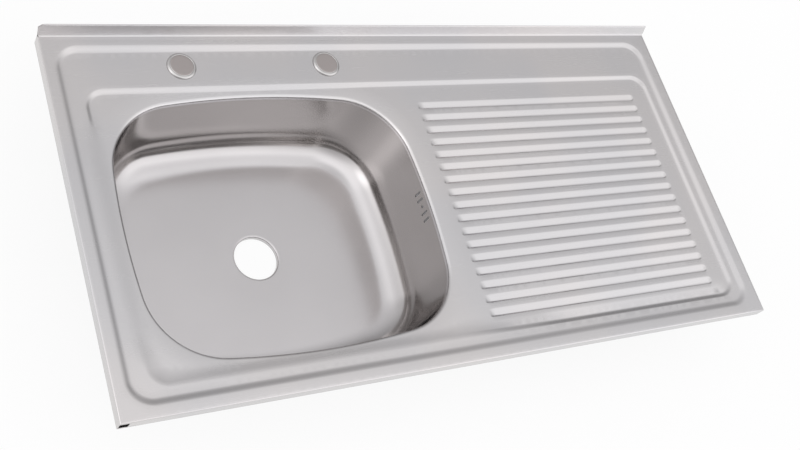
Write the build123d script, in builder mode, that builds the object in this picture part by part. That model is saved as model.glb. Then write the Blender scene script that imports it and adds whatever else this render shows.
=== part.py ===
from build123d import *
from math import atan2, cos, floor
import os

# A sit-on stainless steel kitchen sink: one bowl on the left, a grooved
# drainboard on the right, a leaning upstand along the back and two tap holes
# closed with plugs. X runs to the right, Y to the back and Z up. The origin is
# the centre of the four cabinet fixing holes, on the plane that the sink
# stands on. All sizes are in millimetres.

# ---------------------------------------------------------------- the top's form
length = 1000.0             # left to right
width = 500.0               # front skirt to the foot of the upstand
sheet = 0.8                 # thickness of the steel sheet
skirt_height = 18.0         # rim above the cabinet
fold_inside_radius = 0.8    # inside of the folded edges
seat_width = 14.0           # flange turned in under the skirts
seat_mitre_gap = 1.5        # open mitre between two seat flanges
corner_notch = 11.0         # front skirt cut back from the left corner
notch_roof = 3.0            # skirt left standing above the notch
upstand_height = 15.0       # above the rim
upstand_lean = 7.0          # how far its top leans back
upstand_clip_length = 7.0   # corner cut off its left end
upstand_clip_height = 4.0

# ---------------------------------------------------------------- pressed steps
left_rim = 14.5             # flat rim outside the first step
right_rim = 19.5
front_rim = 15.0
back_rim = 15.0
ledge_drop = 3.0            # height of the first step
ledge_slope = 7.0           # width of its slope
ledge_corner = 32.0
left_ledge = 19.5           # flat ledge between the two steps
right_ledge = 11.0
front_ledge = 11.0
tap_ledge = 54.5            # the wide ledge at the back, which carries the taps
basin_drop = 2.5            # height of the second step
basin_slope = 6.0
basin_corner = 27.0

# ---------------------------------------------------------------- bowl
bowl_length = 427.0         # mouth, left to right
bowl_left_land = 9.5        # flat between the second step and the mouth
bowl_front_land = 11.2
bowl_back_land = 10.1
bowl_side_bow = 14.5        # how far the mouth's left and right sides bow out
bowl_long_bow = 19.5        # the same for its front and back sides
bowl_corner = 96.0
bowl_depth = 131.5          # rim to floor
wall_lean = 6.0             # how far the wall comes in from mouth to floor
floor_radius = 38.0         # between wall and floor
lip_inside_radius = 3.2     # roll of the deck down into the bowl, on its hidden side
lip_height = 8.0            # deck's turned-down lip, above the bowl's weld

# ---------------------------------------------------------------- drainboard
groove_pitch = 20.0
groove_width = 12.5         # at the drainboard's surface
groove_floor_width = 1.0
groove_front_wall = 1.5     # plan width of the steep front wall; the long back slope is the rest
groove_depth = 2.2
groove_left_land = 30.5     # bowl's mouth to the grooves' left ends
groove_right_land = 29.5    # grooves' right ends to the second step
groove_back_land = 33.5     # step to the middle of the rearmost groove
groove_front_land = 21.0    # least room left in front of the last groove's middle

# ---------------------------------------------------------------- waste and overflow
waste_hole = 62.0           # bore of the waste collar
waste_roll_inside = 1.7     # roll of the floor down into the collar, on its hidden side
waste_collar = 7.0          # depth of the collar below the floor
overflow_slots = 2          # slots on each side of the screw hole
overflow_slot_width = 3.2
overflow_slot_height = 15.5
overflow_pitch = 9.8
overflow_screw_hole = 4.5
overflow_shift = 6.0        # screw hole behind the middle of the right wall
overflow_below_rim = 18.7   # top of the slots under the rim

# ---------------------------------------------------------------- tap-hole plugs
tap_hole = 35.0
tap_hole_spacing = 212.0
tap_hole_shift = 13.5       # middle of the two holes to the right of the bowl's middle
tap_hole_from_step = 23.2   # in front of the first step's foot
plug_overlap = 2.25         # how far the cap covers the deck round the hole
plug_cap_height = 3.0
plug_cap_bevel = 3.6        # width of the bright bevel round the cap
plug_cap_bevel_drop = 1.4
plug_cap_wall = 0.6
cap_gap = 0.3               # between the cap's edge and the ledge
seal_thickness = 1.0
seal_clearance = 0.2        # round the seal, inside the cap
seal_overlap = 3.5          # how far the seal reaches in over the hole
core_plate_clearance = 0.15  # round the core's plate, inside the cap
core_stem = 12.0
core_length = 16.0
core_foot = 16.0            # foot that holds the spring clip on the stem
core_foot_height = 2.0
clip_thickness = 0.8
clip_finger_width = 7.0
clip_fingers = 4
clip_finger_height = 9.0
clip_clearance = 0.08       # between a finger and the tap hole's edge

# ---------------------------------------------------------------- underside
stiffener_spacing = 200.0   # between the two stiffeners, about the grooves' middle
stiffener_width = 30.0
stiffener_thickness = 1.2
stiffener_foot = 9.0
bracket_leg = 70.0          # corner plate, along each side
bracket_thickness = 1.5
bracket_tip = 12.0          # width of the plate's two blunt ends
bracket_lap = 8.0           # strip welded on top of the seat flange
bracket_joggle = 3.0        # where the strip steps down to the plate
fit_gap = 0.2               # between a piece and the fold that it fits inside
fixing_hole = 5.0
fixing_inset = 34.0         # fixing hole from the outside of the skirts
pad_land = 16.0             # bare floor round the sound-damping pad
pad_corner = 25.0
pad_thickness = 2.5
pad_hole = 92.0
earth_tag_offset = 60.0     # tag to the left of the left stiffener
earth_tag_width = 16.0
earth_tag_length = 30.0
earth_tag_thickness = 1.2
earth_hole = 5.0

os.makedirs("parts", exist_ok=True)

# ---------------------------------------------------------------- levels and outlines
rim_z = skirt_height
ledge_z = rim_z - ledge_drop
basin_z = ledge_z - basin_drop
groove_z = basin_z - groove_depth
weld_z = basin_z - lip_height
floor_z = rim_z - bowl_depth
upstand_z = rim_z + upstand_height
fold_radius = fold_inside_radius + sheet
lip_radius = lip_inside_radius + sheet

front_y = -width / 2
back_y = width / 2
lean = atan2(upstand_lean, upstand_height)
upstand_face_y = back_y - 2 * sheet / cos(lean)
ledge_left = -length / 2 + left_rim
ledge_right = length / 2 - right_rim
ledge_front = front_y + front_rim
ledge_back = upstand_face_y - back_rim
basin_left = ledge_left + ledge_slope + left_ledge
basin_right = ledge_right - ledge_slope - right_ledge
basin_front = ledge_front + ledge_slope + front_ledge
basin_back = ledge_back - ledge_slope - tap_ledge
flat_left = basin_left + basin_slope
flat_right = basin_right - basin_slope
flat_front = basin_front + basin_slope
flat_back = basin_back - basin_slope

bowl_width = flat_back - flat_front - bowl_front_land - bowl_back_land
bowl_x = flat_left + bowl_left_land + bowl_length / 2
bowl_y = flat_front + bowl_front_land + bowl_width / 2
bowl_right = bowl_x + bowl_length / 2

groove_left = bowl_right + groove_left_land
groove_right = flat_right - groove_right_land
groove_middle_x = (groove_left + groove_right) / 2
groove_first = flat_back - groove_back_land
groove_count = 1 + floor((groove_first - flat_front - groove_front_land) / groove_pitch)

tap_hole_y = ledge_back - ledge_slope - tap_hole_from_step
tap_hole_xs = {
    "left": bowl_x + tap_hole_shift - tap_hole_spacing / 2,
    "right": bowl_x + tap_hole_shift + tap_hole_spacing / 2,
}
seat_inner_x = length / 2 - sheet - seat_width
seat_inner_y = width / 2 - sheet - seat_width


def recess(left, right, front, back, corner, slope, top, bottom):
    """A pressed recess: a rounded rectangle that narrows by the slope on its way down."""
    with BuildPart() as tool:
        for shrink, level in ((0, top), (slope, bottom)):
            with BuildSketch(Plane.XY.offset(level)):
                with Locations(((left + right) / 2, (front + back) / 2)):
                    RectangleRounded(
                        right - left - 2 * shrink, back - front - 2 * shrink, corner - shrink
                    )
        loft(ruled=True)
    return tool.part


def groove(number):
    """One round-ended drain groove, counted from the back, deepest close to its front wall."""
    middle_y = groove_first - number * groove_pitch
    floor_y = middle_y - groove_width / 2 + groove_front_wall + groove_floor_width / 2
    groove_length = groove_right - groove_left
    floor_length = groove_length - groove_width + groove_floor_width
    with BuildPart() as tool:
        with BuildSketch(Plane.XY.offset(basin_z)):
            with Locations((groove_middle_x, middle_y)):
                SlotOverall(groove_length, groove_width)
        with BuildSketch(Plane.XY.offset(groove_z)):
            with Locations((groove_middle_x, floor_y)):
                SlotOverall(floor_length, groove_floor_width)
        loft(ruled=True)
    return tool.part


def mouth_outline(inset, level):
    """The bowl's outline at a level: four bowed sides and round corners, inset from the mouth."""
    half_x = bowl_length / 2 - bowl_side_bow - inset
    half_y = bowl_width / 2 - bowl_long_bow - inset
    knees = [(-half_x, -half_y), (half_x, -half_y), (half_x, half_y), (-half_x, half_y)]
    reach_x = half_x + bowl_side_bow
    reach_y = half_y + bowl_long_bow
    bulges = [(0, -reach_y), (reach_x, 0), (0, reach_y), (-reach_x, 0)]
    centre = Vector(bowl_x, bowl_y)
    with BuildSketch(Plane.XY.offset(level)) as outline:
        with BuildLine():
            for start, bulge, end in zip(knees, bulges, knees[1:] + knees[:1]):
                ThreePointArc(centre + start, centre + bulge, centre + end)
        make_face()
        fillet(outline.vertices(), bowl_corner - inset)
    return outline.sketch


def mouth_prism(grow, bottom, top):
    """A straight plug of the mouth's outline, grown outwards."""
    with BuildPart() as prism:
        extrude(mouth_outline(-grow, bottom), amount=top - bottom)
    return prism.part


ledge_recess = recess(
    ledge_left, ledge_right, ledge_front, ledge_back, ledge_corner, ledge_slope, rim_z, ledge_z
)
basin_recess = recess(
    basin_left, basin_right, basin_front, basin_back, basin_corner, basin_slope, ledge_z, basin_z
)
grooves = [groove(number) for number in range(groove_count)]


def pressed_block(depth):
    """All that lies under one face of the sheet: depth 0 is its upper face, sheet its lower."""
    drop = Location((0, 0, -depth))
    opening = mouth_prism(depth, -depth, rim_z)
    with BuildPart() as block:
        with BuildSketch(Plane.XY.offset(-depth)):
            Rectangle(length - 2 * depth, width - 2 * depth)
        extrude(amount=rim_z)
        rim_edges = block.faces().sort_by(Axis.Z)[-1].edges().sort_by(Axis.Y)[:-1]
        fillet(rim_edges, fold_radius - depth)
        add(ledge_recess.moved(drop), mode=Mode.SUBTRACT)
        add(basin_recess.moved(drop), mode=Mode.SUBTRACT)
        add(opening, mode=Mode.SUBTRACT)
        basin_level = basin_z - depth
        reach_x = bowl_length / 2 + lip_radius
        reach_y = bowl_width / 2 + lip_radius
        lip_edges = (
            block.edges()
            .filter_by_position(Axis.Z, basin_level, basin_level)
            .filter_by_position(Axis.X, bowl_x - reach_x, bowl_x + reach_x)
            .filter_by_position(Axis.Y, bowl_y - reach_y, bowl_y + reach_y)
        )
        fillet(lip_edges, lip_radius - depth)
        add([trough.moved(drop) for trough in grooves], mode=Mode.SUBTRACT)
    return block.part


# ---------------------------------------------------------------- sink top
upper_side = pressed_block(0)
lower_side = pressed_block(sheet)
below_lip = mouth_prism(2 * sheet, -sheet, weld_z)
corners = {
    "front_left": (-1, -1),
    "front_right": (1, -1),
    "rear_left": (-1, 1),
    "rear_right": (1, 1),
}

with BuildPart() as sink_top:
    add(upper_side)
    add(lower_side, mode=Mode.SUBTRACT)
    add(below_lip, mode=Mode.SUBTRACT)
    # The upstand is two sheets thick; its rear sheet runs on down as the back skirt.
    with BuildSketch(Plane.YZ.offset(-length / 2)):
        with BuildLine():
            Polyline(
                (back_y, 0),
                (back_y, rim_z),
                (back_y + upstand_lean, upstand_z),
                (upstand_face_y + upstand_lean, upstand_z),
                (upstand_face_y, rim_z),
                (upstand_face_y, rim_z - sheet),
                (back_y - sheet, rim_z - sheet),
                (back_y - sheet, 0),
                close=True,
            )
        make_face()
    extrude(amount=length)
    with BuildSketch(Plane.XZ.offset(-back_y - 2 * upstand_lean)):
        with BuildLine():
            Polyline(
                (-length / 2, upstand_z),
                (-length / 2 + upstand_clip_length, upstand_z),
                (-length / 2, upstand_z - upstand_clip_height),
                close=True,
            )
        make_face()
    extrude(amount=3 * upstand_lean, mode=Mode.SUBTRACT)
    # The seat flange under the skirts, with an open mitre at each corner.
    with BuildSketch():
        Rectangle(length, width)
        Rectangle(2 * seat_inner_x, 2 * seat_inner_y, mode=Mode.SUBTRACT)
    extrude(amount=sheet)
    for side_x, side_y in corners.values():
        middle_x = side_x * (seat_inner_x + seat_width / 2)
        middle_y = side_y * (seat_inner_y + seat_width / 2)
        with BuildSketch():
            with Locations((middle_x, middle_y)):
                Rectangle(
                    2**0.5 * seat_width - seat_mitre_gap, seat_mitre_gap, rotation=45 * side_x * side_y
                )
        extrude(amount=sheet, mode=Mode.SUBTRACT)
    # The front skirt stops short of the left corner.
    with BuildSketch(Plane.XY.offset(sheet)):
        with Locations((-length / 2 + sheet, front_y)):
            Rectangle(corner_notch, sheet, align=(Align.MIN, Align.MIN))
    extrude(amount=rim_z - sheet - notch_roof, mode=Mode.SUBTRACT)
    with BuildSketch(Plane.XY.offset(ledge_z)):
        with Locations([(x, tap_hole_y) for x in tap_hole_xs.values()]):
            Circle(tap_hole / 2)
    extrude(amount=-sheet, mode=Mode.SUBTRACT)
sink_top.part.label = "sink_top"
export_step(sink_top.part, "parts/sink_top.step")


# ---------------------------------------------------------------- bowl
def bowl_form(grow):
    """The drawn bowl as a solid: grow 0 is its water side, sheet its outside."""
    with BuildPart() as form:
        loft(
            [
                mouth_outline(-grow, weld_z),
                mouth_outline(wall_lean - grow, floor_z - grow),
            ],
            ruled=True,
        )
        fillet(form.faces().sort_by(Axis.Z)[0].edges(), floor_radius + grow)
    return form.part


bowl_outside = bowl_form(sheet)
bowl_inside = bowl_form(0)
bore = waste_hole / 2
waste_roll = waste_roll_inside + sheet
overflow_y = bowl_y + overflow_shift
overflow_z = rim_z - overflow_below_rim - overflow_slot_height / 2
overflow_offsets = [
    side * step * overflow_pitch for side in (-1, 1) for step in range(1, overflow_slots + 1)
]

with BuildPart() as bowl:
    add(bowl_outside)
    add(bowl_inside, mode=Mode.SUBTRACT)
    with BuildSketch(Plane.XY.offset(floor_z)):
        with Locations((bowl_x, bowl_y)):
            Circle(bore + waste_roll)
    extrude(amount=-sheet, mode=Mode.SUBTRACT)
    # The floor rolls down into a short collar round the waste hole.
    with BuildSketch(Plane((bowl_x, bowl_y, floor_z), x_dir=(1, 0, 0), z_dir=(0, -1, 0))):
        with BuildLine():
            CenterArc((bore + waste_roll, -waste_roll), waste_roll, 90, 90)
            Polyline(
                (bore, -waste_roll),
                (bore, -waste_collar),
                (bore + sheet, -waste_collar),
                (bore + sheet, -waste_roll),
            )
            CenterArc((bore + waste_roll, -waste_roll), waste_roll - sheet, 90, 90)
            Line((bore + waste_roll, -sheet), (bore + waste_roll, 0))
        make_face()
    revolve(axis=Axis((bowl_x, bowl_y, 0), (0, 0, 1)))
    # Overflow: slots on each side of a screw hole, through the right wall.
    with BuildSketch(Plane.YZ.offset(bowl_right - wall_lean)):
        with Locations([(overflow_y + offset, overflow_z) for offset in overflow_offsets]):
            SlotOverall(overflow_slot_height, overflow_slot_width, rotation=90)
        with Locations((overflow_y, overflow_z)):
            Circle(overflow_screw_hole / 2)
    extrude(amount=wall_lean + sheet, mode=Mode.SUBTRACT)
bowl.part.label = "bowl"
export_step(bowl.part, "parts/bowl.step")

floor_flat_inset = wall_lean + floor_radius + pad_land
pad_length = bowl_length - 2 * (floor_flat_inset + bowl_side_bow)
pad_width = bowl_width - 2 * (floor_flat_inset + bowl_long_bow)
with BuildPart() as bowl_damping_pad:
    with BuildSketch(Plane.XY.offset(floor_z - sheet)):
        with Locations((bowl_x, bowl_y)):
            RectangleRounded(pad_length, pad_width, pad_corner)
            Circle(pad_hole / 2, mode=Mode.SUBTRACT)
    extrude(amount=-pad_thickness)
bowl_damping_pad.part.label = "bowl_damping_pad"
export_step(bowl_damping_pad.part, "parts/bowl_damping_pad.step")


# ---------------------------------------------------------------- tap-hole plugs
cap_radius = tap_hole / 2 + plug_overlap
cap_flat = cap_radius - plug_cap_bevel
cap_inner_radius = cap_radius - plug_cap_wall
cap_underside = plug_cap_height - plug_cap_wall
core_plate_thickness = cap_underside - seal_thickness
clip_level = core_foot_height - core_length
clip_reach = (tap_hole - 2 * clip_clearance) / 2
clip_hub = core_foot / 2 + clip_thickness


def ring_section(points):
    """A face in the radius and height plane, for turning about a plug's axis."""
    with BuildSketch(Plane.XZ) as section:
        with BuildLine():
            Polyline(*points, close=True)
        make_face()
    return section.sketch


def bevel_height(radius):
    """Height of the cap's outside at a radius within its bevel."""
    return plug_cap_height - plug_cap_bevel_drop * (radius - cap_flat) / plug_cap_bevel


with BuildPart() as plug_cap:
    revolve(
        ring_section(
            [
                (0, plug_cap_height),
                (cap_flat, plug_cap_height),
                (cap_radius, bevel_height(cap_radius)),
                (cap_radius, cap_gap),
                (cap_inner_radius, cap_gap),
                (cap_inner_radius, bevel_height(cap_inner_radius) - plug_cap_wall),
                (cap_flat, cap_underside),
                (0, cap_underside),
            ]
        ),
        axis=Axis.Z,
    )

with BuildPart() as plug_seal:
    with BuildSketch():
        Circle(cap_inner_radius - seal_clearance)
        Circle(tap_hole / 2 - seal_overlap, mode=Mode.SUBTRACT)
    extrude(amount=seal_thickness)

with BuildPart() as plug_core:
    with BuildSketch(Plane.XY.offset(-core_length)):
        Circle(core_foot / 2)
    extrude(amount=core_foot_height)
    with BuildSketch(Plane.XY.offset(-core_length)):
        Circle(core_stem / 2)
    extrude(amount=core_length + seal_thickness)
    with BuildSketch(Plane.XY.offset(seal_thickness)):
        Circle(cap_flat - core_plate_clearance)
    extrude(amount=core_plate_thickness)

with BuildPart() as plug_clip:
    # A dished spring washer, cut into fingers that stand up against the hole's edge.
    revolve(
        ring_section(
            [
                (core_stem / 2 + clip_clearance, clip_level),
                (clip_hub, clip_level),
                (clip_reach, -clip_finger_height),
                (clip_reach, -clip_clearance),
                (clip_reach - clip_thickness, -clip_clearance),
                (clip_reach - clip_thickness, -clip_finger_height + clip_thickness),
                (clip_hub - clip_thickness, clip_level + clip_thickness),
                (core_stem / 2 + clip_clearance, clip_level + clip_thickness),
            ]
        ),
        axis=Axis.Z,
    )
    with BuildSketch(Plane.XY.offset(clip_level)):
        Circle(clip_hub)
        with PolarLocations(0, clip_fingers):
            Rectangle(tap_hole, clip_finger_width, align=(Align.MIN, Align.CENTER))
    extrude(amount=-clip_level, mode=Mode.INTERSECT)

plug_pieces = {"cap": plug_cap, "seal": plug_seal, "core": plug_core, "clip": plug_clip}
for side, hole_x in tap_hole_xs.items():
    for name, piece in plug_pieces.items():
        placed = piece.part.moved(Location((hole_x, tap_hole_y, ledge_z)))
        placed.label = f"{side}_plug_{name}"
        export_step(placed, f"parts/{placed.label}.step")


# ---------------------------------------------------------------- underside
stiffener_top = groove_z - sheet
half_web = stiffener_width / 2
# One side of a hat section, open downwards: from the middle of its top out to its foot.
half_hat = [
    (half_web, stiffener_top),
    (half_web, sheet + stiffener_thickness),
    (half_web + stiffener_foot, sheet + stiffener_thickness),
    (half_web + stiffener_foot, sheet),
    (half_web - stiffener_thickness, sheet),
    (half_web - stiffener_thickness, stiffener_top - stiffener_thickness),
]
whole_hat = half_hat + [(-x, z) for x, z in reversed(half_hat)]
stiffener_xs = {
    "left": groove_middle_x - stiffener_spacing / 2,
    "right": groove_middle_x + stiffener_spacing / 2,
}
for side, centre_x in stiffener_xs.items():
    with BuildPart() as stiffener:
        # It lies across the seat flanges and carries the grooves from below.
        with BuildSketch(Plane.XZ.offset(front_y + sheet + fit_gap)):
            with BuildLine():
                Polyline(*[(centre_x + x, z) for x, z in whole_hat], close=True)
            make_face()
        extrude(amount=width - 2 * sheet - 2 * fit_gap)
    stiffener.part.label = f"{side}_stiffener"
    export_step(stiffener.part, f"parts/{stiffener.part.label}.step")


def corner_points(points, side_x, side_y):
    """Points given inwards from the seat flange's inner corner, placed at one of the corners."""
    return [(side_x * (seat_inner_x - x), side_y * (seat_inner_y - y)) for x, y in points]


# The bracket's plate stands on the cabinet; a raised strip along two sides laps the flange.
plate_points = [
    (fit_gap, fit_gap),
    (bracket_leg, fit_gap),
    (bracket_leg, bracket_tip),
    (bracket_tip, bracket_leg),
    (fit_gap, bracket_leg),
]
strip_points = [
    (-bracket_lap, -bracket_lap),
    (bracket_leg, -bracket_lap),
    (bracket_leg, bracket_joggle),
    (bracket_joggle, bracket_joggle),
    (bracket_joggle, bracket_leg),
    (-bracket_lap, bracket_leg),
]
for name, (side_x, side_y) in corners.items():
    with BuildPart() as bracket:
        with BuildSketch():
            with BuildLine():
                Polyline(*corner_points(plate_points, side_x, side_y), close=True)
            make_face()
            with Locations((side_x * (length / 2 - fixing_inset), side_y * (width / 2 - fixing_inset))):
                Circle(fixing_hole / 2, mode=Mode.SUBTRACT)
        extrude(amount=bracket_thickness)
        with BuildSketch(Plane.XY.offset(sheet)):
            with BuildLine():
                Polyline(*corner_points(strip_points, side_x, side_y), close=True)
            make_face()
        extrude(amount=bracket_thickness)
    bracket.part.label = f"{name}_bracket"
    export_step(bracket.part, f"parts/{bracket.part.label}.step")

earth_tag_x = stiffener_xs["left"] - earth_tag_offset
earth_tag_front = seat_inner_y + bracket_lap - earth_tag_length
with BuildPart() as earth_tag:
    # Welded on the rear flange, with a screw hole in the end that stands clear of it.
    with BuildSketch(Plane.XY.offset(sheet)):
        with Locations((earth_tag_x, earth_tag_front)):
            Rectangle(earth_tag_width, earth_tag_length, align=(Align.CENTER, Align.MIN))
        with Locations((earth_tag_x, earth_tag_front + earth_tag_width / 2)):
            Circle(earth_hole / 2, mode=Mode.SUBTRACT)
    extrude(amount=earth_tag_thickness)
earth_tag.part.label = "earth_tag"
export_step(earth_tag.part, "parts/earth_tag.step")
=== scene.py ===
# %% [markdown]
# # A kitchen sink with a drainboard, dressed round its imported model
#
# The real sink is pressed from one sheet of stainless steel and has a drawn bowl welded in.
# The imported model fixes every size. This lesson gives the sheet its soft press radii, its
# satin finish and the light that metal needs before it looks like metal.

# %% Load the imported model
import math

import bmesh
import bpy
from mathutils import Matrix, Vector
from mathutils.geometry import delaunay_2d_cdt
from mathutils.kdtree import KDTree


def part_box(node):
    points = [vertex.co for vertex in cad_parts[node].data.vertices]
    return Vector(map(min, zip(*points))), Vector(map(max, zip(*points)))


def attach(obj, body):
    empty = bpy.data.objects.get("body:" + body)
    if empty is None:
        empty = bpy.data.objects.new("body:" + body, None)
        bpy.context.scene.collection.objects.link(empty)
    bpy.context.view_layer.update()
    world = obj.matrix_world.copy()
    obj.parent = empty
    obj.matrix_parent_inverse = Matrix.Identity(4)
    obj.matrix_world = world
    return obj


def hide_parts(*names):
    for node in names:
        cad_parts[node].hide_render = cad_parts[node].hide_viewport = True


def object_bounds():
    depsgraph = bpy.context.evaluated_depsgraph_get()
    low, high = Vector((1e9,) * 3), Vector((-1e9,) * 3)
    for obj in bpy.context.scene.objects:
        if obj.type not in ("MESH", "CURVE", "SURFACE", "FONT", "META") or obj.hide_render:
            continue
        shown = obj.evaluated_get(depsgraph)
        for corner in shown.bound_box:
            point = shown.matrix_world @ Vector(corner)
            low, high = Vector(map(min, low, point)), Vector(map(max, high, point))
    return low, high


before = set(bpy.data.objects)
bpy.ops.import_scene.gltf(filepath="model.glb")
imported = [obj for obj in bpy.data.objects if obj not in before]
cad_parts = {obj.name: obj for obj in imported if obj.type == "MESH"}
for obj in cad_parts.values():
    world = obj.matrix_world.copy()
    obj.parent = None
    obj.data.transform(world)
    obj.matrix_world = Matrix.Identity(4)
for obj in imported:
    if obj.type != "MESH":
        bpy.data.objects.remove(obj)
cad_low, cad_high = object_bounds()
MM = 0.001
top_low, top_high = (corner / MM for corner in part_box("sink_top"))
print("nodes:", sorted(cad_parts))
print("pressed top, mm:", [round(size, 1) for size in top_high - top_low])

# %% [markdown]
# ## The camera
#
# A product photograph fixes the angle from which likeness is judged, so the camera is set
# before anything is modelled. It is given the way a photographer would say it: where it
# stands, what it looks at, how far it is tilted over, and its lens.

# %% Place the camera
camera_place = Vector((-855.6, -552.6, 1196.1))
camera_target = Vector((-105.9, -10.0, 18.0))
camera_tilt = 42.49

camera_data = bpy.data.cameras.new("camera")
camera_data.lens = 51.0
camera_data.sensor_width = 36.0
camera_data.shift_x = 0.0331
camera_data.shift_y = -0.0327
camera = bpy.data.objects.new("camera", camera_data)
bpy.context.scene.collection.objects.link(camera)
sight_line = camera_target - camera_place
level_view = sight_line.to_track_quat("-Z", "Y").to_matrix()
tilted = level_view @ Matrix.Rotation(math.radians(camera_tilt), 3, "Z")
camera.matrix_world = Matrix.Translation(camera_place * MM) @ tilted.to_4x4()
bpy.context.scene.camera = camera
bpy.context.scene.view_settings.view_transform = "Standard"
print("camera looks along", [round(part, 2) for part in sight_line.normalized()])

# %% [markdown]
# ## Points, faces and sheet metal
#
# Every shape below is a list of points in millimetres. Small helpers turn such lists into
# Blender meshes, replace live modifiers by their result, merge points that lie on each other
# and turn faces outwards. A sheet is bent row after row, so a surface is gathered from rows
# of points, and it gets its thickness last, when its shape is right.

# %% Mesh helpers
WELD_DISTANCE = 0.004


def mesh_object(name, points, faces):
    """A new object from points in millimetres, with its place in its mesh."""
    mesh = bpy.data.meshes.new(name)
    mesh.from_pydata([Vector(point) * MM for point in points], [], faces)
    mesh.validate()
    made = bpy.data.objects.new(name, mesh)
    bpy.context.scene.collection.objects.link(made)
    return made


def make_plain(piece):
    """Replaces a piece's modifiers by the mesh that they give."""
    graph = bpy.context.evaluated_depsgraph_get()
    result = bpy.data.meshes.new_from_object(piece.evaluated_get(graph), depsgraph=graph)
    piece.modifiers.clear()
    piece.data = result


def open_edges(piece):
    """How many edges have a face on one side only."""
    work = bmesh.new()
    work.from_mesh(piece.data)
    count = sum(1 for edge in work.edges if edge.is_boundary)
    work.free()
    return count


def weld(piece):
    """Merges points that lie on each other, and drops edges and points that hold no face."""
    work = bmesh.new()
    work.from_mesh(piece.data)
    bmesh.ops.remove_doubles(work, verts=work.verts, dist=WELD_DISTANCE * MM)
    bare_edges = [edge for edge in work.edges if not edge.link_faces]
    bmesh.ops.delete(work, geom=bare_edges, context="EDGES")
    bare_points = [point for point in work.verts if not point.link_faces]
    bmesh.ops.delete(work, geom=bare_points, context="VERTS")
    work.to_mesh(piece.data)
    work.free()


def close_skin(piece):
    """Merges double points and turns every face of a closed shape outwards."""
    weld(piece)
    work = bmesh.new()
    work.from_mesh(piece.data)
    bmesh.ops.recalc_face_normals(work, faces=work.faces)
    work.to_mesh(piece.data)
    work.free()


def shade(piece, sharp_angle=34.0):
    """Smooth shading, with edges sharp where the faces turn by more than an angle."""
    piece.data.shade_smooth()
    piece.data.set_sharp_from_angle(angle=math.radians(sharp_angle))


def thicken(piece, thickness):
    """Turns the faces of a sheet that mostly faces up outwards, and gives it its thickness."""
    mesh = piece.data
    work = bmesh.new()
    work.from_mesh(mesh)
    bmesh.ops.recalc_face_normals(work, faces=work.faces)
    if sum(face.normal.z * face.calc_area() for face in work.faces) < 0:
        bmesh.ops.reverse_faces(work, faces=work.faces)
    work.to_mesh(mesh)
    work.free()
    solid = piece.modifiers.new("sheet", "SOLIDIFY")
    solid.thickness = thickness * MM
    solid.offset = -1.0
    solid.use_even_offset = True
    solid.use_quality_normals = True
    make_plain(piece)
    shade(piece)


# %% Surfaces from rows of points
def band(first, rows, count):
    """Quads between neighbouring rows of points, each row count points long."""
    quads = []
    for row in range(rows - 1):
        for step in range(count - 1):
            corner = first + row * count + step
            quads.append((corner, corner + 1, corner + count + 1, corner + count))
    return quads


class Surface:
    """Points and faces gathered from several stretches of one sheet."""

    def __init__(self):
        self.points = []
        self.faces = []

    def add_rows(self, rows, closed=False, skip=None):
        """Joins rows of points with quads; skip(row, step) leaves one out."""
        if closed:
            rows = [row + row[:1] for row in rows]
        count = len(rows[0])
        quads = band(len(self.points), len(rows), count)
        if skip:
            across = count - 1
            quads = [q for i, q in enumerate(quads) if not skip(i // across, i % across)]
        self.points += [point for row in rows for point in row]
        self.faces += quads

    def add_faces(self, points, faces):
        """Adds faces whose corners count from the first of their own points."""
        first = len(self.points)
        self.points += points
        self.faces += [tuple(first + corner for corner in face) for face in faces]


# %% [markdown]
# ## The steps pressed round the edge
#
# Water is kept on the sink by two shallow steps, one inside the other. Both are rounded
# rectangles. A height for every point of the plan is all that they need, so they are written
# as a formula, and the mesh follows lines at fixed distances inside each outline.

# %% Sizes of the pressed top
half_length = top_high.x
front_y = top_low.y
back_y = -front_y
rim_z = 18.0
upstand_z = top_high.z
sheet = 0.78                # a hair under the real 0.8, so that folded layers don't touch
fold_radius = 1.6

upstand_lean = top_high.y - back_y
upstand_thickness = 1.6     # the sheet folded double
lean = math.atan2(upstand_lean, upstand_z - rim_z)
upstand_face_y = back_y - upstand_thickness / math.cos(lean)

left_rim, right_rim, front_rim, back_rim = 14.5, 19.5, 15.0, 15.0
ledge_drop, ledge_slope, ledge_corner = 3.0, 7.0, 32.0
left_ledge, right_ledge, front_ledge, tap_ledge = 19.5, 11.0, 11.0, 54.5
basin_drop, basin_slope, basin_corner = 2.5, 6.0, 27.0
ledge_z = rim_z - ledge_drop
basin_z = ledge_z - basin_drop
print("heights of rim, ledge and basin, mm:", rim_z, ledge_z, basin_z)


# %% Outlines of the two steps
def on_circle(centre, radius, turn):
    """The point of a circle at an angle."""
    return centre[0] + radius * math.cos(turn), centre[1] + radius * math.sin(turn)


def spread(points, spacing):
    """Adds points to the long straight runs of a closed outline."""
    result = []
    for start, end in zip(points, points[1:] + points[:1]):
        parts = max(1, round(math.dist(start, end) / spacing))
        for part in range(parts):
            share = part / parts
            result.append(tuple(a + (b - a) * share for a, b in zip(start, end)))
    return result


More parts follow.
